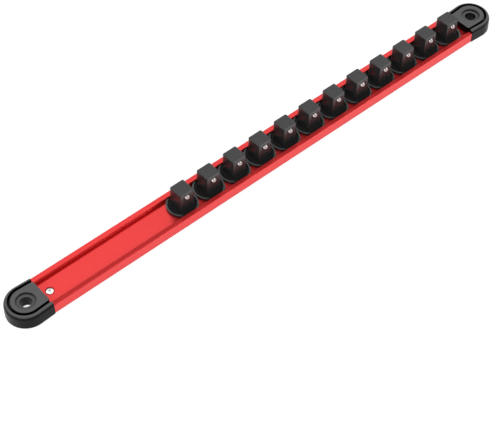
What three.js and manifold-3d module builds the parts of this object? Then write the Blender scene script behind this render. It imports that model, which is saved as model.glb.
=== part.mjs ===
// A bench rail that stores half-inch-drive sockets: an anodised aluminium channel, a moulded cap
// screwed on at each end, and a row of moulded clips. Each clip slides in the channel, and its square
// post holds a socket by a steel ball that a coil spring pushes out of the post.
// X runs along the rail, -Y is the side that the balls face, and Z = 0 is what the rail lies on.

import * as THREE from "three";
import { mergeVertices } from "three/addons/utils/BufferGeometryUtils.js";
import Module from "manifold-3d";

const wasm = await Module();
wasm.setup();

// Rail, an extrusion that is open at the top between two lips, which fall a little toward each other
const railLength = 407;
const railWidth = 29;
const railHeight = 8.7;
const railWall = 2;
const lipWidth = 4;
const lipThickness = 1.3;
const lipFall = 0.45;
const floorHeight = 5;
const floorThickness = 2.8;
const guideWidth = 2.7;
const guideDepth = 1.2;
const edgeRadius = 0.4;

// Screw that holds each end cap to the rail's floor
const screwInset = 6.2;
const screwHeadRadius = 2.85;
const screwHeadHeight = 1.4;
const screwHeadEdge = 0.45;
const screwShankRadius = 1.5;
const screwShankLength = 3.2;
const screwTipLength = 0.4;
const screwDriveLength = 3.4;
const screwDriveWidth = 0.75;
const screwDriveDepth = 0.9;
const screwDriveBottomShare = 0.45;
const counterboreClearance = 0.45;
const counterboreSink = 0.1;
const screwHoleClearance = 0.2;
const screwThreadClearance = 0.05;

// End caps, each round about its own mounting hole
const capGap = 0.05;
const capHoleInset = 12.9;
const capRadius = 15.3;
const capSideOverhang = 0.3;
const capDraft = 0.2;
const capShoulderHeight = 9.2;
const capHeight = 11.2;
const capBandWidth = 2.6;
const capBandSideWidth = 2.9;
const capGrooveWidth = 2.2;
const capGrooveSideWidth = 2;
const capGrooveDepth = 3;
const plateauCornerRadius = 1.2;
const mountHoleRadius = 4.3;
const mountHeadRadius = 6.9;
const mountHeadDepth = 2;
const mountRimWidth = 0.7;
const capWall = 2.2;
const bossWall = 2.5;
const ribThickness = 1.6;
const ribRise = 0.6;
const ribTurnShares = [-0.25, 0, 0.25];
const tongueReach = 11.4;
const tongueLift = 0.15;
const tongueTopClearance = 0.1;
const tongueSideClearance = 0.25;
const tongueCornerRadius = 2;

// Clips, packed against one another toward the right-hand cap
const clipCount = 12;
const clipGap = 0.45;
const clipEndGap = 3.25;
const discSideClearance = 0.5;
const discFloorClearance = 0.2;
const discLipClearance = 0.2;
const rimWidth = 1;
const discFloorThickness = 0.7;
const runnerLength = 10.6;
const runnerSideClearance = 0.25;
const runnerFloorClearance = 0.2;
const runnerEdgeInset = 0.4;
const postWidth = 12.2;
const postFlare = 0.4;
const postTop = 23.9;
const postCornerRadius = 0.8;
const postChamfer = 0.5;

// Ball and spring in each post
const ballRadius = 2.5;
const ballProtrusion = 1.6;
const ballDrop = 4.5;
const ballBoreClearance = 0.15;
const ballMouthClearance = 0.08;
const ballRecessMargin = 0.9;
const ballRecessDepth = 0.2;
const ballBoreEndWall = 2.2;
const wireRadius = 0.25;
const coilRadius = 1.7;
const coilTurns = 4;
const coilSeatGap = 0.1;

// Facets and drawing
const roundSteps = 24;
const boreSteps = 20;
const ballBoreSteps = 16;
const filletSteps = 3;
const postFilletSteps = 2;
const ballSteps = 14;
const ballBands = 8;
const coilSteps = 8;
const wireSides = 4;
const cutOverrun = 1;
const weldTolerance = 1e-4;

// Places that follow from those sizes
const railEnd = railLength / 2;
const railSide = railWidth / 2;
const channelSide = railSide - railWall;
const openingSide = railSide - lipWidth;
const lipUnderside = railHeight - lipThickness;
const guideFloor = floorHeight - guideDepth;
const guideInnerSide = channelSide - guideWidth;
const webUnderside = floorHeight - floorThickness;
const counterboreFloor = floorHeight - counterboreSink - screwHeadHeight;
const discRadius = channelSide - discSideClearance;
const clipPitch = 2 * discRadius + clipGap;
const ballHeight = postTop - ballDrop;

// A closed outline from its corners [x, y, radius], going anticlockwise. A radius rounds its corner.
function outline(corners, steps = filletSteps) {
  const at = (i) => new THREE.Vector2(...corners[(i + corners.length) % corners.length]);
  return corners.flatMap(([x, y, radius], i) => {
    const here = new THREE.Vector2(x, y);
    if (!radius) return [here];
    const back = at(i - 1).sub(here).normalize();
    const ahead = at(i + 1).sub(here).normalize();
    const half = Math.acos(back.dot(ahead)) / 2;
    const inward = back.clone().add(ahead).normalize();
    const centre = here.clone().addScaledVector(inward, radius / Math.sin(half));
    const start = here.clone().addScaledVector(back, radius / Math.tan(half));
    const sweep = (Math.PI - 2 * half) * Math.sign(ahead.cross(back));
    return Array.from({ length: steps + 1 }, (_, k) =>
      start.clone().rotateAround(centre, (sweep * k) / steps),
    );
  });
}

// A rectangle's corners for outline, about a centre on the X axis.
function rectangle(width, depth, radius = 0, centreX = 0) {
  const [x, y] = [width / 2, depth / 2];
  return [
    [centreX + x, y, radius],
    [centreX - x, y, radius],
    [centreX - x, -y, radius],
    [centreX + x, -y, radius],
  ];
}

// A closed three.js geometry as a solid that can be joined and cut.
function solidOf(geometry) {
  const bare = geometry.clone();
  bare.deleteAttribute("normal");
  bare.deleteAttribute("uv");
  const welded = mergeVertices(bare, weldTolerance);
  const triVerts = new Uint32Array(welded.index.array);
  const vertProperties = welded.attributes.position.array;
  return new wasm.Manifold(new wasm.Mesh({ numProp: 3, vertProperties, triVerts }));
}

// An outline raised from one height to another.
function raised(points, from, to) {
  const shape = new THREE.Shape(points);
  const geometry = new THREE.ExtrudeGeometry(shape, { depth: to - from, bevelEnabled: false });
  return solidOf(geometry.translate(0, 0, from));
}

// A body that runs through level outlines with equally many points, from the lowest up.
function lofted(levels) {
  const count = levels[0].points.length;
  const top = (levels.length - 1) * count;
  const places = levels.flatMap(({ points, z }) => points.flatMap(({ x, y }) => [x, y, z]));
  const index = THREE.ShapeUtils.triangulateShape(levels[0].points, []).flatMap(([a, b, c]) => [
    ...[a, c, b],
    ...[top + a, top + b, top + c],
  ]);
  for (let i = 0; i < top; i++) {
    const next = i % count === count - 1 ? i + 1 - count : i + 1;
    index.push(i, next, next + count, i, next + count, i + count);
  }
  const geometry = new THREE.BufferGeometry();
  geometry.setAttribute("position", new THREE.Float32BufferAttribute(places, 3));
  geometry.setIndex(index);
  return solidOf(geometry);
}

// A profile of [radius, height] pairs turned about the Y axis, given from low to high.
function turnedAboutY(profile, steps) {
  const points = profile.map(([radius, height]) => new THREE.Vector2(radius, height));
  return new THREE.LatheGeometry(points, steps);
}

// The same turned about the Z axis.
function turned(profile, steps = roundSteps) {
  return solidOf(turnedAboutY(profile, steps).rotateX(Math.PI / 2));
}

function cylinder(radius, from, to, steps = boreSteps) {
  return turned([[0, from], [radius, from], [radius, to], [0, to]], steps);
}

function meshOf(name, solid, material) {
  const { vertProperties, triVerts } = solid.getMesh();
  const geometry = new THREE.BufferGeometry();
  geometry.setAttribute("position", new THREE.Float32BufferAttribute(vertProperties, 3));
  geometry.setIndex(new THREE.Uint32BufferAttribute(triVerts, 1));
  geometry.computeVertexNormals();
  const mesh = new THREE.Mesh(geometry, material);
  mesh.name = name;
  return mesh;
}

function placed(x, ...meshes) {
  const group = new THREE.Group();
  group.position.x = x;
  return group.add(...meshes);
}

const anodised = () =>
  new THREE.MeshStandardMaterial({ color: 0xd9262b, roughness: 0.35, metalness: 0.7 });
const capPlastic = () =>
  new THREE.MeshStandardMaterial({ color: 0x2b2c2e, roughness: 0.5, metalness: 0 });
const clipPlastic = () =>
  new THREE.MeshStandardMaterial({ color: 0x242424, roughness: 0.4, metalness: 0 });
const platedSteel = () =>
  new THREE.MeshStandardMaterial({ color: 0xdcdcd8, roughness: 0.25, metalness: 1 });
const springSteel = () =>
  new THREE.MeshStandardMaterial({ color: 0x9a9c9e, roughness: 0.35, metalness: 1 });

// The channel's section, as [across, up, radius]: half of it, and its mirror image for the other half.
function railSection() {
  const half = [
    [railSide, 0, edgeRadius],
    [railSide, railHeight, edgeRadius],
    [openingSide, railHeight - lipFall, edgeRadius],
    [openingSide, lipUnderside, edgeRadius],
    [channelSide, lipUnderside],
    [channelSide, guideFloor],
    [guideInnerSide, guideFloor],
    [guideInnerSide, floorHeight, edgeRadius],
  ];
  const tongueChannel = [
    [-channelSide, 0],
    [-channelSide, webUnderside, edgeRadius],
    [channelSide, webUnderside, edgeRadius],
    [channelSide, 0],
  ];
  const mirrored = half.map(([y, z, radius]) => [-y, z, radius]).reverse();
  return outline([...half, ...mirrored, ...tongueChannel]);
}

// The rail with a counterbored screw hole near each end.
function rail() {
  const alongX = new THREE.Matrix4().makeBasis(
    new THREE.Vector3(0, 1, 0),
    new THREE.Vector3(0, 0, 1),
    new THREE.Vector3(1, 0, 0),
  );
  const shape = new THREE.Shape(railSection());
  const length = new THREE.ExtrudeGeometry(shape, { depth: railLength, bevelEnabled: false });
  const channel = solidOf(length.applyMatrix4(alongX).translate(-railEnd, 0, 0));
  const bore = cylinder(screwHeadRadius + counterboreClearance, counterboreFloor, railHeight);
  const hole = cylinder(screwShankRadius + screwHoleClearance, 0, floorHeight);
  const cut = bore.add(hole);
  const screwX = railEnd - screwInset;
  const drilled = channel.subtract(cut.translate([screwX, 0, 0]));
  return meshOf("rail", drilled.subtract(cut.translate([-screwX, 0, 0])), anodised());
}

// A pan-head screw with a cross recess, in the frame of its own axis.
function capScrew(name) {
  const top = counterboreFloor + screwHeadHeight;
  const tip = counterboreFloor - screwShankLength;
  const body = turned(
    [
      [0, tip],
      [screwShankRadius - screwTipLength, tip],
      [screwShankRadius, tip + screwTipLength],
      [screwShankRadius, counterboreFloor],
      [screwHeadRadius, counterboreFloor],
      [screwHeadRadius, top - screwHeadEdge],
      [screwHeadRadius - screwHeadEdge, top],
      [0, top],
    ],
    boreSteps,
  );
  const slot = (shareX, shareY) => {
    const level = (share, z) => ({
      points: outline(rectangle(shareX * share, shareY * share)),
      z,
    });
    const bottom = level(screwDriveBottomShare, top - screwDriveDepth);
    return lofted([bottom, level(1, top), level(1, top + cutOverrun)]);
  };
  const cross = slot(screwDriveLength, screwDriveWidth).add(slot(screwDriveWidth, screwDriveLength));
  return meshOf(name, body.subtract(cross), platedSteel());
}

// A cap's plan about its mounting hole: straight sides from the rail that run into a round end.
function capPlan(radius, sideWidth, railX, cornerRadius = 0) {
  const corner = new THREE.Vector2(railX, sideWidth);
  const tangent = corner.angle() - Math.acos(radius / corner.length());
  const round = Array.from({ length: roundSteps + 1 }, (_, i) => {
    const angle = tangent * ((2 * i) / roundSteps - 1);
    return [radius * Math.cos(angle), radius * Math.sin(angle)];
  });
  return outline([...round, [railX, sideWidth, cornerRadius], [railX, -sideWidth, cornerRadius]]);
}

// The hollow under a cap: its plan less the wall, round the boss of the mounting hole and its ribs.
function capCore(capSide) {
  const roof = capHeight - capGrooveDepth - capWall;
  const plan = capPlan(capRadius - capWall, capSide - capWall, capWall - capHoleInset);
  const boss = cylinder(mountHoleRadius + bossWall, 0, capHeight, roundSteps);
  const rib = raised(outline(rectangle(capRadius, ribThickness, 0, capRadius / 2)), ribRise, capHeight);
  const kept = ribTurnShares.reduce((sum, turn) => sum.add(rib.rotate([0, 0, 360 * turn])), boss);
  return raised(plan, -cutOverrun, roof).subtract(kept);
}

// The tongue of a cap, which slips under the rail's floor and takes the screw.
function capTongue() {
  const width = 2 * (channelSide - tongueSideClearance);
  const length = tongueReach + capWall;
  const centreX = capWall - capHoleInset - length / 2;
  const plan = outline(rectangle(length, width, tongueCornerRadius, centreX));
  return raised(plan, tongueLift, webUnderside - tongueTopClearance);
}

// One end cap in the frame of its mounting hole, with the rail toward -X.
function endCap(name) {
  const side = railSide + capSideOverhang;
  const bandSide = side - capBandSideWidth;
  const railX = -capHoleInset;
  const level = (radius, sideWidth, z) => ({ points: capPlan(radius, sideWidth, railX), z });
  const bandRadius = capRadius - capBandWidth;
  const shell = lofted([
    level(capRadius + capDraft, side, 0),
    level(capRadius, side, capShoulderHeight),
    level(bandRadius, bandSide, capHeight),
  ]);
  const grooveFloor = capHeight - capGrooveDepth;
  const trench = raised(
    capPlan(bandRadius, bandSide, railX - cutOverrun),
    grooveFloor,
    capHeight + cutOverrun,
  );
  const plateau = raised(
    capPlan(bandRadius - capGrooveWidth, bandSide - capGrooveSideWidth, railX, plateauCornerRadius),
    grooveFloor - cutOverrun,
    capHeight,
  );
  const headFloor = capHeight - mountHeadDepth;
  const bore = turned([
    [0, -cutOverrun],
    [mountHoleRadius, -cutOverrun],
    [mountHoleRadius, headFloor],
    [mountHeadRadius, headFloor],
    [mountHeadRadius, capHeight - mountRimWidth],
    [mountHeadRadius + mountRimWidth, capHeight],
    [mountHeadRadius + mountRimWidth, capHeight + cutOverrun],
    [0, capHeight + cutOverrun],
  ]);
  const screwHole = cylinder(screwShankRadius + screwThreadClearance, -cutOverrun, webUnderside);
  const cap = shell
    .subtract(capCore(side))
    .subtract(trench.subtract(plateau))
    .subtract(bore)
    .add(capTongue())
    .subtract(screwHole.translate([railX - capGap - screwInset, 0, 0]));
  return meshOf(name, cap, capPlastic());
}

// Half the post's width at a height, which falls a little toward the top as the mould needs.
function postSideAt(height) {
  const root = floorHeight + discFloorClearance;
  const share = (height - root) / (postTop - postChamfer - root);
  return (postWidth + postFlare * (1 - share)) / 2;
}

// The clip's round base: a floor with a raised rim, and the runners that keep it square in the rail.
function clipBase() {
  const bottom = floorHeight + discFloorClearance;
  const top = lipUnderside - discLipClearance;
  const inner = discRadius - rimWidth;
  const disc = turned([
    [0, bottom],
    [discRadius, bottom],
    [discRadius, top],
    [inner, top],
    [inner, bottom + discFloorThickness],
    [0, bottom + discFloorThickness],
  ]);
  const heights = [guideFloor + runnerFloorClearance, bottom + discFloorThickness / 2];
  const bars = raised(outline(rectangle(runnerLength, 2 * discRadius)), ...heights);
  const inside = 2 * (guideInnerSide + runnerSideClearance);
  const between = raised(outline(rectangle(2 * discRadius, inside)), ...heights);
  const round = cylinder(discRadius - runnerEdgeInset, ...heights, roundSteps);
  return disc.add(bars.subtract(between).intersect(round));
}

// The square post, with its vertical corners rounded and its top edge broken.
function clipPost() {
  const root = floorHeight + discFloorClearance;
  const shoulder = postTop - postChamfer;
  const level = (side, z) => ({
    points: outline(rectangle(2 * side, 2 * side, postCornerRadius), postFilletSteps),
    z,
  });
  return lofted([
    level(postSideAt(root), root),
    level(postSideAt(shoulder), shoulder),
    level(postSideAt(shoulder) - postChamfer, postTop),
  ]);
}

// Places along the ball's axis, which runs from the post's front face into the post.
const postFront = -postSideAt(ballHeight);
const ballY = postFront - ballProtrusion + ballRadius;
const recessFloorY = postFront + ballRecessDepth;
const boreEndY = postSideAt(ballHeight) - ballBoreEndWall;

// The blind bore: a shallow round recess, a mouth that the ball can't pass, and the spring's bore.
function ballBore() {
  const boreRadius = ballRadius + ballBoreClearance;
  const atMouth = Math.sqrt(ballRadius ** 2 - (ballY - recessFloorY) ** 2);
  const recessRadius = ballRadius + ballRecessMargin;
  const profile = [
    [0, postFront - cutOverrun],
    [recessRadius, postFront - cutOverrun],
    [recessRadius, recessFloorY],
    [atMouth + ballMouthClearance, recessFloorY],
    [boreRadius, ballY],
    [boreRadius, boreEndY],
    [0, boreEndY],
  ];
  return solidOf(turnedAboutY(profile, ballBoreSteps).translate(0, 0, ballHeight));
}

function ball() {
  const sphere = new THREE.SphereGeometry(ballRadius, ballSteps, ballBands);
  return solidOf(sphere.translate(0, ballY, ballHeight));
}

// The wire's centre line, wound about the ball's axis from behind the ball to the bore's end.
const coilPath = (() => {
  const reach = ballRadius + wireRadius + coilSeatGap;
  const from = ballY + Math.sqrt(reach ** 2 - coilRadius ** 2);
  const to = boreEndY - coilSeatGap - wireRadius;
  const steps = coilTurns * coilSteps;
  return Array.from({ length: steps + 1 }, (_, i) => {
    const angle = (2 * Math.PI * i) / coilSteps;
    const y = THREE.MathUtils.lerp(from, to, i / steps);
    return new THREE.Vector3(coilRadius * Math.cos(angle), y, coilRadius * Math.sin(angle));
  });
})();

// The least gap between the wire's neighbouring turns, measured from each point to each later turn.
function coilSelfGap() {
  const gaps = coilPath.flatMap((here, i) =>
    coilPath.slice(i + coilSteps / 2).map((there) => here.distanceTo(there) - 2 * wireRadius),
  );
  return Math.min(...gaps);
}

// The spring: one unbroken wire, as a ring of points round each point of the centre line.
function spring() {
  const rise = (coilPath.at(-1).y - coilPath[0].y) / (2 * Math.PI * coilTurns);
  const places = coilPath.flatMap((centre) => {
    const outward = new THREE.Vector3(centre.x, 0, centre.z).normalize();
    const onward = new THREE.Vector3(-centre.z, rise, centre.x).normalize();
    const sideways = new THREE.Vector3().crossVectors(onward, outward);
    return Array.from({ length: wireSides }, (_, side) => {
      const angle = (2 * Math.PI * side) / wireSides;
      return centre
        .clone()
        .addScaledVector(outward, wireRadius * Math.cos(angle))
        .addScaledVector(sideways, wireRadius * Math.sin(angle))
        .toArray();
    }).flat();
  });
  const last = (coilPath.length - 1) * wireSides;
  const index = [];
  for (let i = 0; i < last; i++) {
    const next = i % wireSides === wireSides - 1 ? i + 1 - wireSides : i + 1;
    index.push(i, next, next + wireSides, i, next + wireSides, i + wireSides);
  }
  for (let side = 1; side < wireSides - 1; side++) {
    index.push(0, side + 1, side, last, last + side, last + side + 1);
  }
  const geometry = new THREE.BufferGeometry();
  geometry.setAttribute("position", new THREE.Float32BufferAttribute(places, 3));
  geometry.setIndex(index);
  return solidOf(geometry.translate(0, 0, ballHeight));
}

// One clip at its place in the row, the first being the furthest from the right-hand cap.
const clipSolid = clipBase().add(clipPost()).subtract(ballBore());
const ballSolid = ball();
const springSolid = spring();
function clip(number) {
  const label = String(number).padStart(2, "0");
  const x = railEnd - clipEndGap - discRadius - (clipCount - number) * clipPitch;
  return placed(
    x,
    meshOf("clip_" + label, clipSolid, clipPlastic()),
    meshOf("clip_ball_" + label, ballSolid, platedSteel()),
    meshOf("clip_spring_" + label, springSolid, springSteel()),
  );
}

const socketRail = new THREE.Group();
socketRail.name = "socket_rail";
socketRail.add(rail());

const capX = railEnd + capGap + capHoleInset;
const screwX = railEnd - screwInset;
const rightCap = placed(capX, endCap("end_cap_right"));
const leftCap = placed(-capX, endCap("end_cap_left"));
leftCap.rotation.z = Math.PI;
socketRail.add(rightCap, leftCap);
socketRail.add(placed(screwX, capScrew("cap_screw_right")));
socketRail.add(placed(-screwX, capScrew("cap_screw_left")));

for (let number = 1; number <= clipCount; number++) socketRail.add(clip(number));
console.log("least gap between turns of a spring, mm:", coilSelfGap().toFixed(2));

export default socketRail;
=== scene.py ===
"""A bench rail for half-inch-drive sockets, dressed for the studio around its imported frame."""

import math

import bmesh
import bpy
from mathutils import Matrix, Vector


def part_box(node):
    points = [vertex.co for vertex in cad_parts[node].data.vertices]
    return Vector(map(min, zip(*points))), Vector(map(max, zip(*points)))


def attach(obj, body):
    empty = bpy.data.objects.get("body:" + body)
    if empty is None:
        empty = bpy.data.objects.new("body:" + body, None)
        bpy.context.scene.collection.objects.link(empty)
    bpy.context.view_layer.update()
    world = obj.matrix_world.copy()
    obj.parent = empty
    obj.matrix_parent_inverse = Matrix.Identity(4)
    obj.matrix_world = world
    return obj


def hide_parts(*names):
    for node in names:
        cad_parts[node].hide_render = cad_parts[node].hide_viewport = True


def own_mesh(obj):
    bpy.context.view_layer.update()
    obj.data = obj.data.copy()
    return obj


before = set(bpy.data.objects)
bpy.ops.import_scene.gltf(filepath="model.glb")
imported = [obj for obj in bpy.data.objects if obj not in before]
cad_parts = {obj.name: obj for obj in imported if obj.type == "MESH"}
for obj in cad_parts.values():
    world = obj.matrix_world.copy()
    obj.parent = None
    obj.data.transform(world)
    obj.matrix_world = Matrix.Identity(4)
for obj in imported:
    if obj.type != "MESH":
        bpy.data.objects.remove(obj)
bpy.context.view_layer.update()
MM = 0.001

# Camera
# A long lens looks down along the rail from in front of its left end, as the photograph does.
HEADING = math.radians(49.28)
TILT = math.radians(50.41)
EYE = Vector((-0.4707, -0.5229, 0.7821))
LENS_MM = 103.54
SENSOR_MM = 36

camera = bpy.data.objects.new("camera", bpy.data.cameras.new("camera"))
camera.data.lens = LENS_MM
camera.data.sensor_width = SENSOR_MM
camera.location = EYE
along = Vector((math.cos(HEADING) * math.cos(TILT), math.sin(HEADING) * math.cos(TILT), -math.sin(TILT)))
camera.rotation_euler = along.to_track_quat("-Z", "Y").to_euler()
bpy.context.scene.collection.objects.link(camera)
bpy.context.scene.camera = camera
bpy.context.scene.view_settings.view_transform = "Standard"

# Studio
# A white light table that also glows from below. The room is dark but for a broad strip of light above
# and behind the rail, along it, with a softbox in front on the right and a fill on the left.
FLOOR_SIZE = 6.0
FLOOR_WHITE = (0.4, 0.4, 0.4, 1)
FLOOR_ROUGHNESS = 0.9
FLOOR_SPECULAR = 0.1
FLOOR_GLOW = 0.78
STRIP_ACROSS = (0.36, 1.0, 0.0)
STRIP_LEVELS = (
    (-0.75, 0.35),
    (-0.5, 0.35),
    (-0.4, 0.0),
    (-0.25, 0.0),
    (0.0, 0.45),
    (0.42, 0.6),
    (0.5, 0.95),
    (0.64, 1.0),
    (0.69, 0.0),
)
STRIP_EDGE = (0.25, 0.4)
ROOM_LEVELS = (0.18, 1.8)


def softbox(name, place, width, depth, radiance):
    """An area light at a place, turned to face the rail, as bright as a white page at radiance 1."""
    light = bpy.data.objects.new(name, bpy.data.lights.new(name, "AREA"))
    light.data.shape = "RECTANGLE"
    light.data.size = width
    light.data.size_y = depth
    light.data.energy = radiance * math.pi * width * depth
    light.location = place
    light.rotation_euler = (-Vector(place)).to_track_quat("-Z", "Y").to_euler()
    bpy.context.scene.collection.objects.link(light)


def parted(tree, vector):
    """The X, Y and Z of a vector, as sockets."""
    parts = tree.nodes.new("ShaderNodeSeparateXYZ")
    tree.links.new(vector, parts.inputs[0])
    return parts.outputs


def ramped(tree, value, start, end, low=0.0, high=1.0):
    """A socket that goes from a low to a high level as a value goes from start to end."""
    ramp = tree.nodes.new("ShaderNodeMapRange")
    for name, limit in (("From Min", start), ("From Max", end), ("To Min", low), ("To Max", high)):
        ramp.inputs[name].default_value = limit
    tree.links.new(value, ramp.inputs["Value"])
    return ramp.outputs["Result"]


def reckoned(tree, operation, value, other=None):
    """A socket with the outcome of a math operation on a value, or on a value and a socket or number."""
    step = tree.nodes.new("ShaderNodeMath")
    step.operation = operation
    tree.links.new(value, step.inputs[0])
    if isinstance(other, bpy.types.NodeSocket):
        tree.links.new(other, step.inputs[1])
    elif other is not None:
        step.inputs[1].default_value = other
    return step.outputs["Value"]


bm = bmesh.new()
bmesh.ops.create_grid(bm, x_segments=1, y_segments=1, size=FLOOR_SIZE / 2)
floor_mesh = bpy.data.meshes.new("floor")
bm.to_mesh(floor_mesh)
bm.free()
floor = bpy.data.objects.new("floor", floor_mesh)
bpy.context.scene.collection.objects.link(floor)
light_table = bpy.data.materials.new("light_table")
light_table.use_nodes = True
glow = light_table.node_tree.nodes["Principled BSDF"]
glow.inputs["Base Color"].default_value = FLOOR_WHITE
glow.inputs["Roughness"].default_value = FLOOR_ROUGHNESS
glow.inputs["Specular IOR Level"].default_value = FLOOR_SPECULAR
glow.inputs["Emission Color"].default_value = (1, 1, 1, 1)
glow.inputs["Emission Strength"].default_value = FLOOR_GLOW
floor_mesh.materials.append(light_table)

softbox("softbox_front", place=(1.1, -1.55, 1.05), width=0.9, depth=0.7, radiance=5.0)
softbox("softbox_left", place=(-1.9, -1.3, 0.9), width=1.4, depth=1.2, radiance=2.5)

room = bpy.data.worlds.new("room")
bpy.context.scene.world = room
room.use_nodes = True
room_tree = room.node_tree
direction = room_tree.nodes.new("ShaderNodeTexCoord").outputs["Generated"]
across = room_tree.nodes.new("ShaderNodeVectorMath")
across.operation = "DOT_PRODUCT"
across.inputs[1].default_value = Vector(STRIP_ACROSS).normalized()
room_tree.links.new(direction, across.inputs[0])
strip = room_tree.nodes.new("ShaderNodeValToRGB")
strip.color_ramp.elements.remove(strip.color_ramp.elements[1])
for n, (share, level) in enumerate(STRIP_LEVELS):
    stop = strip.color_ramp.elements.new((share + 1) / 2) if n else strip.color_ramp.elements[0]
    stop.position = (share + 1) / 2
    stop.color = (level, level, level, 1)
room_tree.links.new(ramped(room_tree, across.outputs["Value"], -1, 1), strip.inputs["Fac"])
overhead = ramped(room_tree, parted(room_tree, direction)["Z"], *STRIP_EDGE)
lit = reckoned(room_tree, "MULTIPLY", strip.outputs["Color"], overhead)
background = room_tree.nodes["Background"]
background.inputs["Color"].default_value = (1, 1, 1, 1)
room_tree.links.new(ramped(room_tree, lit, 0, 1, *ROOM_LEVELS), background.inputs["Strength"])

# Rail
# One aluminium extrusion, sawn to length, drilled at both ends and anodised red. Its lips turn inwards
# over the clips' bases, and a narrow groove beside each wall guides the clips' runners.
WALL = 2.0 * MM
LIP_WIDTH = 4.0 * MM
LIP_THICKNESS = 1.3 * MM
LIP_FALL = 0.45 * MM
FLOOR_HEIGHT = 5.0 * MM
FLOOR_THICKNESS = 2.8 * MM
GUIDE_WIDTH = 2.7 * MM
GUIDE_DEPTH = 1.2 * MM
EDGE_RADIUS = 0.4 * MM
SCREW_INSET = 6.2 * MM
COUNTERBORE_RADIUS = 3.3 * MM
COUNTERBORE_FLOOR = 3.5 * MM
SCREW_HOLE_RADIUS = 1.7 * MM
SAWN_EDGE = 0.12 * MM
OVERRUN = MM
FINE = 1e-6
FLAT_ANGLE = math.radians(0.5)
CORNER_STEPS = 6
ROUND_STEPS = 96
BORE_STEPS = 64
GRAIN_DETAIL = 4
CLOUD_SCALE = 60
CLOUD_DETAIL = 2
ANODISED_RED = (0.79, 0.033, 0.033)
# Painted shade: a darker red, and the height over which the rail's foot darkens towards it, a painted
# contact shadow.
PAINTED_SHADE_RED = (0.42, 0.02, 0.02)
PAINTED_SHADE_HEIGHT = 0.9 * MM
COAT_WEIGHT = 0.1
COAT_ROUGHNESS = 0.1
COAT_IOR = 1.4
rail_low, rail_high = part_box("rail")


def flat_outline(corners, place):
    """A bmesh of one flat face, from corners (across, up, radius), with each corner rounded."""
    bm = bmesh.new()
    rounded = [(bm.verts.new(place(across, up)), radius) for across, up, radius in corners]
    bm.faces.new([vert for vert, _ in rounded])
    for vert, radius in rounded:
        if radius:
            bmesh.ops.bevel(
                bm,
                geom=[vert],
                offset=radius,
                segments=CORNER_STEPS,
                profile=0.5,
                affect="VERTICES",
                material=-1,
            )
    return bm


def pushed_out(bm, vec):
    """Extrudes a bmesh's one flat face into a body."""
    made = bmesh.ops.extrude_face_region(bm, geom=bm.faces[:])["geom"]
    bmesh.ops.translate(bm, vec=vec, verts=[g for g in made if isinstance(g, bmesh.types.BMVert)])
    bmesh.ops.recalc_face_normals(bm, faces=bm.faces)
    return bm


def turned(profile, steps=ROUND_STEPS, axis=(0, 0, 1)):
    """A closed body turned about an axis through the origin, from pairs of radius and height."""
    along_axis = Vector(axis)
    outward = Vector((1, 0, 0))
    bm = bmesh.new()
    chain = [bm.verts.new(outward * radius + along_axis * height) for radius, height in profile]
    edges = [bm.edges.new(pair) for pair in zip(chain, chain[1:])]
    bmesh.ops.spin(
        bm, geom=chain + edges, cent=(0, 0, 0), axis=axis, angle=math.tau, steps=steps, use_merge=True
    )
    bmesh.ops.remove_doubles(bm, verts=bm.verts, dist=FINE)
    bmesh.ops.recalc_face_normals(bm, faces=bm.faces)
    return bm


def moved(bm, vec=(0, 0, 0), turn=0.0):
    """Turns a bmesh about the Z axis and then moves it."""
    bmesh.ops.rotate(bm, cent=(0, 0, 0), matrix=Matrix.Rotation(turn, 3, "Z"), verts=bm.verts)
    bmesh.ops.translate(bm, vec=vec, verts=bm.verts)
    return bm


def carved(bm, tool, operation="DIFFERENCE", weld=FINE):
    """One bmesh cut by, joined to or held to another, as a new bmesh. Both are used up."""
    holders = []
    for part in (bm, tool):
        mesh = bpy.data.meshes.new("carving")
        part.to_mesh(mesh)
        part.free()
        holders.append(bpy.data.objects.new("carving", mesh))
        bpy.context.scene.collection.objects.link(holders[-1])
    cutter = holders[0].modifiers.new("carve", "BOOLEAN")
    cutter.operation = operation
    cutter.solver = "EXACT"
    cutter.object = holders[1]
    bpy.context.view_layer.update()
    made = bmesh.new()
    made.from_mesh(holders[0].evaluated_get(bpy.context.evaluated_depsgraph_get()).to_mesh())
    for holder in holders:
        mesh = holder.data
        bpy.data.objects.remove(holder)
        bpy.data.meshes.remove(mesh)
    bmesh.ops.remove_doubles(made, verts=made.verts, dist=weld)
    return made


def whole_faces(bm):
    """Joins the faces of a bmesh that lie in one plane, and the edges that lie in one line."""
    bmesh.ops.dissolve_limit(
        bm, angle_limit=FLAT_ANGLE, verts=bm.verts, edges=bm.edges, use_dissolve_boundaries=False
    )
    return bm


def eased(bm, radius, segments, least_angle):
    """Rounds the edges of a bmesh that are sharper than an angle."""
    whole_faces(bm)
    sharp = [
        edge
        for edge in bm.edges
        if edge.is_manifold and edge.calc_face_angle() > math.radians(least_angle)
    ]
    bmesh.ops.bevel(
        bm,
        geom=sharp,
        offset=radius,
        segments=segments,
        profile=0.5,
        affect="EDGES",
        clamp_overlap=True,
        material=-1,
    )
    return bm


def standing_for(node, bm, body, material, place=(0, 0, 0)):
    """Makes a bmesh the piece that stands for a CAD node, at its place, and rides it on its body."""
    name = "dressed_" + node
    mesh = bpy.data.meshes.new(name)
    bm.to_mesh(mesh)
    mesh.transform(Matrix.Translation(place))
    mesh.materials.append(material)
    mesh.shade_smooth()
    piece = bpy.data.objects.new(name, mesh)
    bpy.context.scene.collection.objects.link(piece)
    piece.modifiers.new("weighted_normals", "WEIGHTED_NORMAL")
    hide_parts(node)
    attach(piece, body)
    return piece


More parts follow.
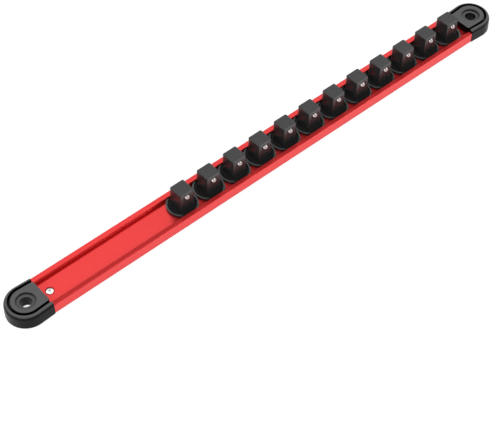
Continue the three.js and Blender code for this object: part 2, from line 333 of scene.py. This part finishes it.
def blended(tree, share, first, second, data_type="RGBA"):
    """A socket that mixes two colours or two numbers, each given by its value or its socket."""
    mix = tree.nodes.new("ShaderNodeMix")
    mix.data_type = data_type
    tree.links.new(share, mix.inputs["Factor"])
    for name, end in (("A", first), ("B", second)):
        if isinstance(end, bpy.types.NodeSocket):
            tree.links.new(end, mix.inputs[name])
        else:
            mix.inputs[name].default_value = (*end, 1) if data_type == "RGBA" else end
    return mix.outputs["Result"]


def clouded(tree, place, scale, detail):
    """A socket with soft noise over the places of a surface."""
    noise = tree.nodes.new("ShaderNodeTexNoise")
    noise.inputs["Scale"].default_value = scale
    noise.inputs["Detail"].default_value = detail
    tree.links.new(place, noise.inputs["Vector"])
    return noise.outputs["Fac"]


def feeding(socket):
    """The socket that another one is fed from."""
    return socket.links[0].from_socket


def finish_of(name, color, metallic, scale, roughness, depth, tints=None):
    """A new principled material with a fine relief and a changing roughness, and its shader.

    scale is the grain's frequency along X, Y and Z, roughness the range, and depth the relief in metres.
    With two tints the colour changes too.
    """
    material = bpy.data.materials.new(name)
    material.use_nodes = True
    tree = material.node_tree
    shader = tree.nodes["Principled BSDF"]
    shader.inputs["Base Color"].default_value = (*color, 1)
    shader.inputs["Metallic"].default_value = metallic
    place = tree.nodes.new("ShaderNodeTexCoord").outputs["Object"]
    stretch = tree.nodes.new("ShaderNodeMapping")
    stretch.inputs["Scale"].default_value = scale
    tree.links.new(place, stretch.inputs["Vector"])
    grain = clouded(tree, stretch.outputs["Vector"], 1, GRAIN_DETAIL)
    tree.links.new(ramped(tree, grain, 0, 1, *roughness), shader.inputs["Roughness"])
    relief = tree.nodes.new("ShaderNodeBump")
    relief.inputs["Distance"].default_value = depth
    tree.links.new(grain, relief.inputs["Height"])
    tree.links.new(relief.outputs["Normal"], shader.inputs["Normal"])
    if tints:
        cloud = clouded(tree, place, CLOUD_SCALE, CLOUD_DETAIL)
        tree.links.new(blended(tree, cloud, *tints), shader.inputs["Base Color"])
    return material, shader


rail_side = rail_high.y
channel_side = rail_side - WALL
guide_side = channel_side - GUIDE_WIDTH
lip_side = rail_side - LIP_WIDTH
lip_underside = rail_high.z - LIP_THICKNESS
guide_floor = FLOOR_HEIGHT - GUIDE_DEPTH
web_underside = FLOOR_HEIGHT - FLOOR_THICKNESS
screw_x = rail_high.x - SCREW_INSET
half_section = [
    (0, FLOOR_HEIGHT, 0),
    (0, web_underside, 0),
    (channel_side, web_underside, EDGE_RADIUS),
    (channel_side, 0, EDGE_RADIUS),
    (rail_side, 0, EDGE_RADIUS),
    (rail_side, rail_high.z, EDGE_RADIUS),
    (lip_side, rail_high.z - LIP_FALL, EDGE_RADIUS),
    (lip_side, lip_underside, EDGE_RADIUS),
    (channel_side, lip_underside, EDGE_RADIUS),
    (channel_side, guide_floor, EDGE_RADIUS),
    (guide_side, guide_floor, EDGE_RADIUS),
    (guide_side, FLOOR_HEIGHT, EDGE_RADIUS),
]
rail_bm = flat_outline(half_section, lambda across, up: (rail_low.x, across, up))
pushed_out(rail_bm, (rail_high.x - rail_low.x, 0, 0))
middle = [face for face in rail_bm.faces if all(abs(vert.co.y) < FINE for vert in face.verts)]
bmesh.ops.delete(rail_bm, geom=middle, context="FACES")
bmesh.ops.mirror(
    rail_bm,
    geom=rail_bm.verts[:] + rail_bm.edges[:] + rail_bm.faces[:],
    axis="Y",
    merge_dist=FINE,
)
bmesh.ops.recalc_face_normals(rail_bm, faces=rail_bm.faces)
for end in (-1, 1):
    bore = turned(
        [
            (0, -OVERRUN),
            (SCREW_HOLE_RADIUS, -OVERRUN),
            (SCREW_HOLE_RADIUS, COUNTERBORE_FLOOR),
            (COUNTERBORE_RADIUS, COUNTERBORE_FLOOR),
            (COUNTERBORE_RADIUS, rail_high.z + OVERRUN),
            (0, rail_high.z + OVERRUN),
        ],
        BORE_STEPS,
    )
    rail_bm = carved(rail_bm, moved(bore, (end * screw_x, 0, 0)))
eased(rail_bm, SAWN_EDGE, segments=2, least_angle=60)

anodised, anodised_shader = finish_of(
    "red_anodising",
    color=ANODISED_RED,
    metallic=0.55,
    scale=(25, 2600, 2600),
    roughness=(0.22, 0.3),
    depth=0.01 * MM,
    tints=((0.8, 0.032, 0.033), (0.78, 0.035, 0.034)),
)
rail_tree = anodised.node_tree
rail_height = parted(rail_tree, rail_tree.nodes.new("ShaderNodeTexCoord").outputs["Object"])["Z"]
# Painted shade: the red darkens over the lowest 0.9 mm of the rail, a painted contact shadow along the foot
# of its walls.
painted_shade_share = ramped(rail_tree, rail_height, PAINTED_SHADE_HEIGHT, PAINTED_SHADE_HEIGHT / 2)
red_with_painted_shade = blended(rail_tree, painted_shade_share, feeding(anodised_shader.inputs["Base Color"]), PAINTED_SHADE_RED)
rail_tree.links.new(red_with_painted_shade, anodised_shader.inputs["Base Color"])
anodised_shader.inputs["Coat Weight"].default_value = COAT_WEIGHT
anodised_shader.inputs["Coat Roughness"].default_value = COAT_ROUGHNESS
anodised_shader.inputs["Coat IOR"].default_value = COAT_IOR
standing_for("rail", rail_bm, "rail_body", anodised)
rail_bm.free()

# Cap screws
# Plated steel pan-head screws with a cross recess, one through the rail's floor into the tongue of each
# end cap. Each head sits in a counterbore, so that a clip can pass over it.
SCREW_HEAD_RADIUS = 2.85 * MM
SCREW_HEAD_HEIGHT = 1.4 * MM
SCREW_EDGE = 0.45 * MM
SCREW_EDGE_TURNS = (30, 60, 90)
SHANK_RADIUS = 1.5 * MM
SHANK_LENGTH = 3.2 * MM
TIP_LENGTH = 0.4 * MM
THREAD_DEPTH = 0.18 * MM
THREAD_TURNS = 6
CROSS_LENGTH = 3.4 * MM
CROSS_WIDTH = 0.75 * MM
CROSS_DEPTH = 0.9 * MM
CROSS_TAPER = 0.45
CROSS_TURN = math.radians(20)
SCREW_ROUNDING = 0.08 * MM
ROUNDED_ANGLE = math.radians(35)


def cross_arm(length, width, top):
    """A bar that narrows downward, for one arm of a cross recess."""
    bm = bmesh.new()
    bmesh.ops.create_cube(bm, size=1)
    bmesh.ops.scale(bm, vec=(length, width, 2 * CROSS_DEPTH), verts=bm.verts)
    low = [vert for vert in bm.verts if vert.co.z < 0]
    bmesh.ops.scale(bm, vec=(CROSS_TAPER, CROSS_TAPER, 1), verts=low)
    return moved(bm, (0, 0, top))


def pan_screw(seat):
    """A screw on its own axis, with its head resting at a height."""
    top = seat + SCREW_HEAD_HEIGHT
    core = SHANK_RADIUS - THREAD_DEPTH
    foot = seat - SHANK_LENGTH
    pitch = (SHANK_LENGTH - TIP_LENGTH) / THREAD_TURNS
    profile = [(0, foot), (core - TIP_LENGTH / 2, foot), (core, foot + TIP_LENGTH)]
    for turn in range(THREAD_TURNS):
        start = foot + TIP_LENGTH + turn * pitch
        profile += [(SHANK_RADIUS, start + pitch / 2), (core, start + pitch)]
    edge = SCREW_HEAD_RADIUS - SCREW_EDGE
    profile += [(SCREW_HEAD_RADIUS, seat), (SCREW_HEAD_RADIUS, top - SCREW_EDGE)]
    for angle in map(math.radians, SCREW_EDGE_TURNS):
        profile.append((edge + SCREW_EDGE * math.cos(angle), top - SCREW_EDGE * (1 - math.sin(angle))))
    profile.append((0, top))
    bm = carved(turned(profile, BORE_STEPS), cross_arm(CROSS_LENGTH, CROSS_WIDTH, top))
    return carved(bm, cross_arm(CROSS_WIDTH, CROSS_LENGTH, top))


def rounding(piece, width, segments):
    """Rounds a piece's sharp edges, ahead of its normals."""
    bevel = piece.modifiers.new("rounded_edges", "BEVEL")
    bevel.width = width
    bevel.segments = segments
    bevel.limit_method = "ANGLE"
    bevel.angle_limit = ROUNDED_ANGLE
    bevel.harden_normals = True
    piece.modifiers.move(len(piece.modifiers) - 1, 0)


plated, _ = finish_of(
    "zinc_plate",
    color=(0.86, 0.86, 0.84),
    metallic=1.0,
    scale=(2500, 2500, 2500),
    roughness=(0.18, 0.34),
    depth=0.01 * MM,
    tints=((0.9, 0.9, 0.87), (0.8, 0.82, 0.82)),
)
screw_bm = moved(pan_screw(COUNTERBORE_FLOOR), turn=CROSS_TURN)
for side, place in (("left", -screw_x), ("right", screw_x)):
    screw = standing_for(
        "cap_screw_" + side, screw_bm, "rail_body", plated, (place, 0, 0)
    )
    rounding(screw, SCREW_ROUNDING, segments=2)
screw_bm.free()

# End caps
# Moulded glossy black plastic, its upward-facing surfaces near the top painted grey as painted light, with
# a deep groove round a counterbored screw hole. Underneath it is cored out round a boss and ribs, and its
# tongue slips under the rail's floor.
CAP_GAP = 0.05 * MM
HOLE_INSET = 12.9 * MM
CAP_RADIUS = 15.3 * MM
CAP_OVERHANG = 0.3 * MM
CAP_SHOULDER = 8.0 * MM
SHOULDER_STEPS = 8
CAP_HEIGHT = 11.2 * MM
BAND_WIDTH = 2.6 * MM
BAND_SIDE_WIDTH = 2.9 * MM
GROOVE_WIDTH = 2.2 * MM
GROOVE_SIDE_WIDTH = 2.0 * MM
GROOVE_DEPTH = 3.0 * MM
PLATEAU_CORNER = 1.2 * MM
UPRIGHT_STEPS = 8
HOLE_RADIUS = 4.3 * MM
HEAD_RADIUS = 6.9 * MM
HEAD_DEPTH = 2.0 * MM
RIM_WIDTH = 0.7 * MM
CAP_WALL = 2.2 * MM
BOSS_WALL = 2.5 * MM
RIB_THICKNESS = 1.6 * MM
RIB_RISE = 0.6 * MM
RIB_TURNS = (-90, 0, 90)
TONGUE_REACH = 11.4 * MM
TONGUE_LIFT = 0.15 * MM
TONGUE_TOP_GAP = 0.1 * MM
TONGUE_SIDE_GAP = 0.25 * MM
TONGUE_CORNER = 2.0 * MM
THREAD_HOLE_RADIUS = 1.55 * MM
THREAD_HOLE_TOP = 4.0 * MM
SMALL_BORE_STEPS = 48
CAP_WELD = 0.02 * MM
CAP_ROUNDING = 0.25 * MM
CAP_BLACK = (0.002, 0.002, 0.0021)
CAP_IOR = 1.22
# Painted light: upward-facing surfaces near the cap's top are coloured grey, speckled between two tones,
# where the rest is black.
CAP_PAINTED_LIGHT_DARK = (0.085, 0.086, 0.088)
CAP_PAINTED_LIGHT_BRIGHT = (0.145, 0.146, 0.149)
CAP_PAINTED_LIGHT_EDGE = (9.9 * MM, 11.0 * MM)
PAINTED_LIGHT_FACING = (0.1, 0.35)
FLAT_FACING = (0.8, 0.95)
FLAT_LIFT = 1.7 * MM
SPECKLE_SCALE = 2500
SPECKLE_DETAIL = 3


def hulled(levels, rail_x):
    """The block from the rail outwards that wraps a circle and two corners by the rail at each level.

    Each level gives the circle's radius, half the width by the rail and the height.
    """
    bm = bmesh.new()
    for radius, side, height in levels:
        ring = bmesh.ops.create_circle(
            bm,
            cap_ends=False,
            radius=radius,
            segments=ROUND_STEPS,
            matrix=Matrix.Translation((0, 0, height)),
        )["verts"]
        bmesh.ops.delete(bm, geom=[vert for vert in ring if vert.co.x < rail_x], context="VERTS")
        for across in (-side, side):
            bm.verts.new((rail_x, across, height))
    made = bmesh.ops.convex_hull(bm, input=bm.verts[:])
    spare = {g for key in ("geom_interior", "geom_unused") for g in made[key]}
    bmesh.ops.delete(bm, geom=[g for g in spare if isinstance(g, bmesh.types.BMVert)], context="VERTS")
    bmesh.ops.recalc_face_normals(bm, faces=bm.faces)
    return bm


def bar(low, high):
    """A block between two corners."""
    low, high = Vector(low), Vector(high)
    bm = bmesh.new()
    bmesh.ops.create_cube(bm, size=1, matrix=Matrix.Translation((low + high) / 2))
    bmesh.ops.scale(bm, vec=high - low, space=Matrix.Translation(-(low + high) / 2), verts=bm.verts)
    return bm


def uprights(bm):
    """The edges of a bmesh that rise."""
    return [edge for edge in bm.edges if abs(edge.verts[0].co.z - edge.verts[1].co.z) > FINE]


def rounded_uprights(bm, at_x, radius):
    """Rounds the vertical edges of a block at a place along X."""
    whole_faces(bm)
    bmesh.ops.bevel(
        bm,
        geom=[edge for edge in uprights(bm) if all(abs(vert.co.x - at_x) < FINE for vert in edge.verts)],
        offset=radius,
        segments=UPRIGHT_STEPS,
        profile=0.5,
        affect="EDGES",
        material=-1,
    )
    return bm


rail_face = -HOLE_INSET
cap_side = rail_side + CAP_OVERHANG
band_radius = CAP_RADIUS - BAND_WIDTH
band_side = cap_side - BAND_SIDE_WIDTH
plateau_radius = band_radius - GROOVE_WIDTH
plateau_side = band_side - GROOVE_SIDE_WIDTH
groove_floor = CAP_HEIGHT - GROOVE_DEPTH
head_floor = CAP_HEIGHT - HEAD_DEPTH

cap_levels = [(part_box("end_cap_right")[1].y, cap_side, 0)]
for step in range(SHOULDER_STEPS + 1):
    turn = math.pi / 2 * step / SHOULDER_STEPS
    out, up = math.cos(turn), math.sin(turn)
    cap_levels.append(
        (
            band_radius + BAND_WIDTH * out,
            band_side + BAND_SIDE_WIDTH * out,
            CAP_SHOULDER + (CAP_HEIGHT - CAP_SHOULDER) * up,
        )
    )
cap_bm = hulled(cap_levels, rail_face)
plateau_ends = (groove_floor - OVERRUN, CAP_HEIGHT + 2 * OVERRUN)
plateau = hulled([(plateau_radius, plateau_side, height) for height in plateau_ends], rail_face)
rounded_uprights(plateau, rail_face, PLATEAU_CORNER)
trench_ends = (groove_floor, CAP_HEIGHT + OVERRUN)
trench = hulled([(band_radius, band_side, height) for height in trench_ends], rail_face - OVERRUN)
cap_bm = carved(cap_bm, carved(trench, plateau))

hollow_ends = (-OVERRUN, groove_floor - CAP_WALL)
hollow = hulled(
    [(CAP_RADIUS - CAP_WALL, cap_side - CAP_WALL, height) for height in hollow_ends],
    rail_face + CAP_WALL,
)
boss_radius = HOLE_RADIUS + BOSS_WALL
boss = turned([(0, -2 * OVERRUN), (boss_radius, -2 * OVERRUN), (boss_radius, CAP_HEIGHT), (0, CAP_HEIGHT)])
hollow = carved(hollow, boss)
for turn in RIB_TURNS:
    rib = bar((0, -RIB_THICKNESS / 2, RIB_RISE), (CAP_RADIUS, RIB_THICKNESS / 2, CAP_HEIGHT))
    hollow = carved(hollow, moved(rib, turn=math.radians(turn)))
cap_bm = carved(cap_bm, hollow)
hole = turned(
    [
        (0, -OVERRUN),
        (HOLE_RADIUS, -OVERRUN),
        (HOLE_RADIUS, head_floor),
        (HEAD_RADIUS, head_floor),
        (HEAD_RADIUS, CAP_HEIGHT - RIM_WIDTH),
        (HEAD_RADIUS + RIM_WIDTH, CAP_HEIGHT),
        (HEAD_RADIUS + RIM_WIDTH, CAP_HEIGHT + OVERRUN),
        (0, CAP_HEIGHT + OVERRUN),
    ]
)
cap_bm = carved(cap_bm, hole)
tongue_side = channel_side - TONGUE_SIDE_GAP
tongue_end = rail_face - TONGUE_REACH
tongue = bar(
    (tongue_end, -tongue_side, TONGUE_LIFT),
    (rail_face + CAP_WALL / 2, tongue_side, web_underside - TONGUE_TOP_GAP),
)
rounded_uprights(tongue, tongue_end, TONGUE_CORNER)
cap_bm = carved(cap_bm, tongue, "UNION")
thread = turned(
    [
        (0, -OVERRUN),
        (THREAD_HOLE_RADIUS, -OVERRUN),
        (THREAD_HOLE_RADIUS, THREAD_HOLE_TOP),
        (0, THREAD_HOLE_TOP),
    ],
    SMALL_BORE_STEPS,
)
cap_bm = carved(cap_bm, moved(thread, (rail_face - CAP_GAP - SCREW_INSET, 0, 0)), weld=CAP_WELD)

cap_plastic, cap_shader = finish_of(
    "moulded_cap",
    color=CAP_BLACK,
    metallic=0.0,
    scale=(3200, 3200, 3200),
    roughness=(0.26, 0.38),
    depth=0.02 * MM,
)
cap_shader.inputs["IOR"].default_value = CAP_IOR
cap_tree = cap_plastic.node_tree
cap_spot = cap_tree.nodes.new("ShaderNodeTexCoord").outputs
cap_facing = parted(cap_tree, cap_spot["Normal"])["Z"]
cap_height = parted(cap_tree, cap_spot["Object"])["Z"]
# Painted light: faces that turn upward near the top of the cap get the speckled grey instead of black.
lift = ramped(cap_tree, cap_facing, *FLAT_FACING, 0, FLAT_LIFT)
above = ramped(cap_tree, reckoned(cap_tree, "ADD", cap_height, lift), *CAP_PAINTED_LIGHT_EDGE)
painted_light_share = reckoned(cap_tree, "MULTIPLY", ramped(cap_tree, cap_facing, *PAINTED_LIGHT_FACING), above)
speckle = clouded(cap_tree, cap_spot["Object"], SPECKLE_SCALE, SPECKLE_DETAIL)
painted_light_grey = blended(cap_tree, speckle, CAP_PAINTED_LIGHT_DARK, CAP_PAINTED_LIGHT_BRIGHT)
cap_tree.links.new(blended(cap_tree, painted_light_share, CAP_BLACK, painted_light_grey), cap_shader.inputs["Base Color"])
for side, turn, place in (
    ("right", 0, rail_high.x + CAP_GAP + HOLE_INSET),
    ("left", math.pi, rail_low.x - CAP_GAP - HOLE_INSET),
):
    own_bm = moved(cap_bm.copy(), turn=turn)
    cap = standing_for("end_cap_" + side, own_bm, "rail_body", cap_plastic, (place, 0, 0))
    own_bm.free()
    rounding(cap, CAP_ROUNDING, segments=3)
cap_bm.free()

# Clips
# Moulded black plastic. A round base runs under the rail's lips, its dish rougher and painted darker as
# painted shade, and its rim painted grey at the sides as a painted highlight. Two runners in the guide
# grooves keep it square, and the post is bored for ball and spring.
CLIP_COUNT = 12
BASE_GAP = 0.2 * MM
BASE_RIM = 1.3 * MM
BASE_FLOOR = 0.7 * MM
RUNNER_LENGTH = 10.6 * MM
RUNNER_SIDE_GAP = 0.25 * MM
RUNNER_FLOOR_GAP = 0.2 * MM
RUNNER_INSET = 0.4 * MM
POST_WIDTH = 12.2 * MM
POST_FLARE = 0.4 * MM
POST_CORNER = 1.0 * MM
POST_CHAMFER = 0.3 * MM
CROWN_FACING = 0.9
BALL_RADIUS = 2.5 * MM
BALL_PROTRUSION = 1.6 * MM
BALL_DROP = 4.5 * MM
BORE_GAP = 0.15 * MM
MOUTH_GAP = 0.08 * MM
RECESS_MARGIN = 0.9 * MM
RECESS_DEPTH = 0.2 * MM
BORE_END_WALL = 2.2 * MM
CLIP_ROUNDING = 0.12 * MM
CLIP_BLACK = (0.014, 0.014, 0.0145)
LEVEL_FACING = (0.5, 0.9)
# Painted shade: the dish floor is coloured darker than the moulding, and it is rougher.
DISH_PAINTED_SHADE = (0.003, 0.003, 0.003)
DISH_ROUGHNESS = 0.85
DISH_TOP_GAP = 0.5 * MM
# Painted highlight: a thin band at the rim's top is coloured grey at the sides of the base, fading out
# towards front and back.
RIM_PAINTED_HIGHLIGHT = (0.07, 0.073, 0.073)
RIM_HIGHLIGHT_ROUGHNESS = 0.35
RIM_HIGHLIGHT_REACH = (7.6 * MM, 9.2 * MM)
RIM_HIGHLIGHT_BAND = 0.2 * MM

clip_labels = [f"{number:02d}" for number in range(1, CLIP_COUNT + 1)]
clip_boxes = [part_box("clip_" + label) for label in clip_labels]
clip_places = [(low.x + high.x) / 2 for low, high in clip_boxes]
clip_low, clip_high = clip_boxes[0]
base_radius = (clip_high.x - clip_low.x) / 2
post_top = clip_high.z
ball_height = post_top - BALL_DROP
base_bottom = FLOOR_HEIGHT + BASE_GAP
base_top = lip_underside - BASE_GAP


def post_side(height):
    """Half the post's width at a height, a little less toward the top as the mould needs."""
    share = (height - base_bottom) / (post_top - POST_CHAMFER - base_bottom)
    return (POST_WIDTH + POST_FLARE * (1 - share)) / 2


post_front = -post_side(ball_height)
ball_y = post_front - BALL_PROTRUSION + BALL_RADIUS
bore_end = post_side(ball_height) - BORE_END_WALL

clip_bm = turned(
    [
        (0, base_bottom),
        (base_radius, base_bottom),
        (base_radius, base_top),
        (base_radius - BASE_RIM, base_top),
        (base_radius - BASE_RIM, base_bottom + BASE_FLOOR),
        (0, base_bottom + BASE_FLOOR),
    ]
)
runner_inner = guide_side + RUNNER_SIDE_GAP
runner_radius = base_radius - RUNNER_INSET
runner_low, runner_high = guide_floor + RUNNER_FLOOR_GAP, base_bottom + BASE_FLOOR / 2
for across in (-1, 1):
    ends = sorted((across * runner_inner, across * base_radius))
    runner = bar((-RUNNER_LENGTH / 2, ends[0], runner_low), (RUNNER_LENGTH / 2, ends[1], runner_high))
    round_bar = turned(
        [(0, runner_low), (runner_radius, runner_low), (runner_radius, runner_high), (0, runner_high)]
    )
    clip_bm = carved(clip_bm, carved(runner, round_bar, "INTERSECT"), "UNION")
post = bar((-0.5, -0.5, base_bottom), (0.5, 0.5, post_top - POST_CHAMFER))
for vert in post.verts:
    vert.co.xy *= 2 * post_side(vert.co.z)
bmesh.ops.bevel(
    post,
    geom=uprights(post),
    offset=POST_CORNER,
    segments=CORNER_STEPS,
    profile=0.5,
    affect="EDGES",
    material=-1,
)
crown = [face for face in post.faces if face.normal.z > CROWN_FACING]
made = bmesh.ops.extrude_face_region(post, geom=crown)["geom"]
crown_verts = [g for g in made if isinstance(g, bmesh.types.BMVert)]
bmesh.ops.translate(post, vec=(0, 0, POST_CHAMFER), verts=crown_verts)
narrowed = 1 - POST_CHAMFER / post_side(post_top - POST_CHAMFER)
bmesh.ops.scale(post, vec=(narrowed, narrowed, 1), verts=crown_verts)
bmesh.ops.delete(post, geom=crown, context="FACES")
bmesh.ops.recalc_face_normals(post, faces=post.faces)
clip_bm = carved(clip_bm, post, "UNION")
recess_floor = post_front + RECESS_DEPTH
at_mouth = math.sqrt(BALL_RADIUS**2 - (ball_y - recess_floor) ** 2)
bore = turned(
    [
        (0, post_front - OVERRUN),
        (BALL_RADIUS + RECESS_MARGIN, post_front - OVERRUN),
        (BALL_RADIUS + RECESS_MARGIN, recess_floor),
        (at_mouth + MOUTH_GAP, recess_floor),
        (BALL_RADIUS + BORE_GAP, ball_y),
        (BALL_RADIUS + BORE_GAP, bore_end),
        (0, bore_end),
    ],
    SMALL_BORE_STEPS,
    axis=(0, 1, 0),
)
clip_bm = carved(clip_bm, moved(bore, (0, 0, ball_height)))

clip_plastic, clip_shader = finish_of(
    "moulded_clip",
    color=CLIP_BLACK,
    metallic=0.0,
    scale=(2200, 2200, 2200),
    roughness=(0.2, 0.3),
    depth=0.006 * MM,
    tints=((0.018, 0.018, 0.0185), (0.024, 0.024, 0.0245)),
)
clip_tree = clip_plastic.node_tree
clip_spot = clip_tree.nodes.new("ShaderNodeTexCoord").outputs
level_part = ramped(clip_tree, parted(clip_tree, clip_spot["Normal"])["Z"], *LEVEL_FACING)
spot_parts = parted(clip_tree, clip_spot["Object"])
apart = reckoned(clip_tree, "ABSOLUTE", spot_parts["Y"])
moulding_and_painted_light = feeding(clip_shader.inputs["Base Color"])
sheen = feeding(clip_shader.inputs["Roughness"])
# Painted shade on the dish floor and a painted highlight on the rim's top at the sides, mixed into the
# moulding's colour.
for low, high, reach, color, roughness in (
    (0, base_top - DISH_TOP_GAP, (base_radius, 2 * base_radius), DISH_PAINTED_SHADE, DISH_ROUGHNESS),
    (base_top - RIM_HIGHLIGHT_BAND, base_top + RIM_HIGHLIGHT_BAND, RIM_HIGHLIGHT_REACH, RIM_PAINTED_HIGHLIGHT, RIM_HIGHLIGHT_ROUGHNESS),
):
    offset = reckoned(clip_tree, "SUBTRACT", spot_parts["Z"], (low + high) / 2)
    away = reckoned(clip_tree, "ABSOLUTE", offset)
    within = reckoned(clip_tree, "LESS_THAN", away, (high - low) / 2)
    beside = ramped(clip_tree, apart, reach[1], reach[0])
    share = reckoned(clip_tree, "MULTIPLY", reckoned(clip_tree, "MULTIPLY", level_part, within), beside)
    moulding_and_painted_light = blended(clip_tree, share, moulding_and_painted_light, color)
    sheen = blended(clip_tree, share, sheen, roughness, "FLOAT")
clip_tree.links.new(moulding_and_painted_light, clip_shader.inputs["Base Color"])
clip_tree.links.new(sheen, clip_shader.inputs["Roughness"])
for label, place in zip(clip_labels, clip_places):
    clip = standing_for(
        "clip_" + label, clip_bm, "clip_body_" + label, clip_plastic, (place, 0, 0)
    )
    rounding(clip, CLIP_ROUNDING, segments=2)
clip_bm.free()

# Balls
# A hardened steel ball in the front face of each post, held in by the mouth of its bore. It is pressed
# back as a socket goes over the post, and clicks into the socket's own groove.
BALL_SEGMENTS = 48

polished, _ = finish_of(
    "polished_steel",
    color=(0.5, 0.46, 0.45),
    metallic=1.0,
    scale=(1800, 5200, 1800),
    roughness=(0.06, 0.16),
    depth=0.004 * MM,
    tints=((0.52, 0.47, 0.46), (0.46, 0.42, 0.41)),
)
ball_bm = bmesh.new()
bmesh.ops.create_uvsphere(
    ball_bm, u_segments=BALL_SEGMENTS, v_segments=BALL_SEGMENTS // 2, radius=BALL_RADIUS
)
for label, place in zip(clip_labels, clip_places):
    standing_for(
        "clip_ball_" + label,
        ball_bm,
        "ball_body_" + label,
        polished,
        (place, ball_y, ball_height),
    )
ball_bm.free()

# Springs
# Spring steel wire, wound about the ball's axis and seated at the blind end of the bore. Each spring
# rides in its clip at its full length; in use it shortens as its ball is pressed.
WIRE_RADIUS = 0.25 * MM
WIRE_SIDES = 8
COIL_RADIUS = 1.7 * MM
COIL_TURNS = 4
COIL_SEAT_GAP = 0.1 * MM
COIL_STEPS = 32

spring_steel, _ = finish_of(
    "spring_wire",
    color=(0.55, 0.56, 0.57),
    metallic=1.0,
    scale=(4000, 4000, 4000),
    roughness=(0.22, 0.4),
    depth=0.004 * MM,
    tints=((0.6, 0.6, 0.6), (0.46, 0.47, 0.49)),
)
reach = BALL_RADIUS + WIRE_RADIUS + COIL_SEAT_GAP
coil_start = ball_y + math.sqrt(reach**2 - COIL_RADIUS**2)
coil_end = bore_end - COIL_SEAT_GAP - WIRE_RADIUS
coil_steps = COIL_TURNS * COIL_STEPS
spring_bm = bmesh.new()
bmesh.ops.create_circle(spring_bm, cap_ends=True, radius=WIRE_RADIUS, segments=WIRE_SIDES)
bmesh.ops.translate(spring_bm, vec=(COIL_RADIUS, coil_start, 0), verts=spring_bm.verts)
bmesh.ops.spin(
    spring_bm,
    geom=spring_bm.faces[:],
    cent=(0, 0, 0),
    axis=(0, 1, 0),
    dvec=(0, (coil_end - coil_start) / coil_steps, 0),
    angle=COIL_TURNS * math.tau,
    steps=coil_steps,
)
bmesh.ops.remove_doubles(spring_bm, verts=spring_bm.verts, dist=FINE)
bmesh.ops.recalc_face_normals(spring_bm, faces=spring_bm.faces)
for label, place in zip(clip_labels, clip_places):
    spring = standing_for(
        "clip_spring_" + label,
        spring_bm,
        "clip_body_" + label,
        spring_steel,
        (place, 0, ball_height),
    )
    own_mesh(spring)
spring_bm.free()
